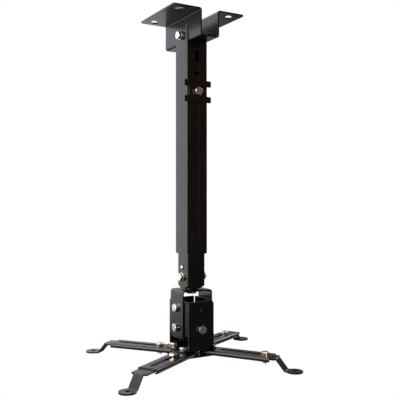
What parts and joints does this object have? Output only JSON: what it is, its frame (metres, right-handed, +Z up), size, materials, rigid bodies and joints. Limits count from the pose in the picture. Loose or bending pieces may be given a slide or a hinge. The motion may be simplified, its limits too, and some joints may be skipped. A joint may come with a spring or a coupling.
{
  "type": "projector mount",
  "caption": "Black steel ceiling mount for a projector: a hat bracket, a telescopic square mast, a swivel and tilt head, and slotted spider arms with sliding ring feet.",
  "frame": {"origin": "centre of the ceiling plane, where the bracket's flanges meet the ceiling", "axes": "+Z up into the ceiling, -Y out of the mast's slotted front, +X across the bracket's trough"},
  "size_m": [0.2797, 0.2473, 0.46],
  "materials": {
    "black_coat": "satin powder coat",
    "zinc": "zinc plated"
  },
  "bodies": {
    "ceiling": {"ceiling_bracket": "black_coat", "bracket_bolt": "zinc", "bracket_washers": "zinc", "bracket_nut": "zinc", "outer_tube": "black_coat"},
    "mast": {"inner_tube": "black_coat", "lock_plate": "black_coat", "lock_bolt": "zinc", "lock_nut": "zinc", "neck_insert": "black_coat", "neck_rivets": "zinc", "neck_bolt": "zinc", "neck_washers": "zinc", "neck_nut": "zinc"},
    "yoke": {"yoke": "black_coat", "swivel_bolt": "zinc", "swivel_washer": "black_coat", "swivel_nut": "zinc"},
    "tilt_box": {"tilt_box": "black_coat", "pitch_pivot_bolts": "zinc", "pitch_lock_bolts": "zinc", "pitch_nuts": "zinc", "roll_pivot_bolts": "zinc", "roll_nuts": "zinc"},
    "cradle": {"cradle": "black_coat", "base_plate": "black_coat", "arm_pivot_bolts": "zinc", "arm_pivot_nuts": "zinc"},
    "arm_left": {"arm_left": "black_coat"},
    "strap_left": {"foot_strap_left": "black_coat", "clamp_bolt_left": "zinc", "clamp_nut_left": "zinc"},
    "arm_front_left": {"arm_front_left": "black_coat"},
    "strap_front_left": {"foot_strap_front_left": "black_coat", "clamp_bolt_front_left": "zinc", "clamp_nut_front_left": "zinc"},
    "arm_right": {"arm_right": "black_coat", "clamp_bolt_right": "zinc", "clamp_nut_right": "zinc"},
    "strap_right": {"foot_strap_right": "black_coat"},
    "arm_back_right": {"arm_back_right": "black_coat", "clamp_bolt_back_right": "zinc", "clamp_nut_back_right": "zinc"},
    "strap_back_right": {"foot_strap_back_right": "black_coat"}
  },
  "joints": [
    {"name": "height_slide", "type": "slide", "parent": "ceiling", "child": "mast", "axis": [0, 0, -1], "range_m": [-0.013, 0.19]},
    {"name": "swivel", "type": "hinge", "parent": "mast", "child": "yoke", "pos_m": [0, 0, -0.3613], "axis": [0, 0, 1], "continuous": true},
    {"name": "pitch", "type": "hinge", "parent": "yoke", "child": "tilt_box", "pos_m": [0, 0, -0.387], "axis": [1, 0, 0], "range_deg": [-15, 15]},
    {"name": "roll", "type": "hinge", "parent": "tilt_box", "child": "cradle", "pos_m": [0, 0, -0.413], "axis": [0, 1, 0], "range_deg": [-15, 15]},
    {"name": "swing_left", "type": "hinge", "parent": "cradle", "child": "arm_left", "pos_m": [-0.02, 0.016, -0.4421], "axis": [0, 0, 1], "range_deg": [-30, 30]},
    {"name": "reach_left", "type": "slide", "parent": "arm_left", "child": "strap_left", "axis": [-0.6225, 0.7826, 0], "range_m": [0, 0.045]},
    {"name": "swing_front_left", "type": "hinge", "parent": "cradle", "child": "arm_front_left", "pos_m": [-0.02, -0.016, -0.4421], "axis": [0, 0, 1], "range_deg": [-30, 30]},
    {"name": "reach_front_left", "type": "slide", "parent": "arm_front_left", "child": "strap_front_left", "axis": [-0.8434, -0.5373, 0], "range_m": [-0.008, 0.045]},
    {"name": "swing_right", "type": "hinge", "parent": "cradle", "child": "arm_right", "pos_m": [0.02, -0.016, -0.4421], "axis": [0, 0, 1], "range_deg": [-30, 30]},
    {"name": "reach_right", "type": "slide", "parent": "arm_right", "child": "strap_right", "axis": [0.5519, -0.8339, 0], "range_m": [0, 0.045]},
    {"name": "swing_back_right", "type": "hinge", "parent": "cradle", "child": "arm_back_right", "pos_m": [0.02, 0.016, -0.4421], "axis": [0, 0, 1], "range_deg": [-30, 30]},
    {"name": "reach_back_right", "type": "slide", "parent": "arm_back_right", "child": "strap_back_right", "axis": [0.887, 0.4617, 0], "range_m": [-0.006, 0.045]}
  ]
}
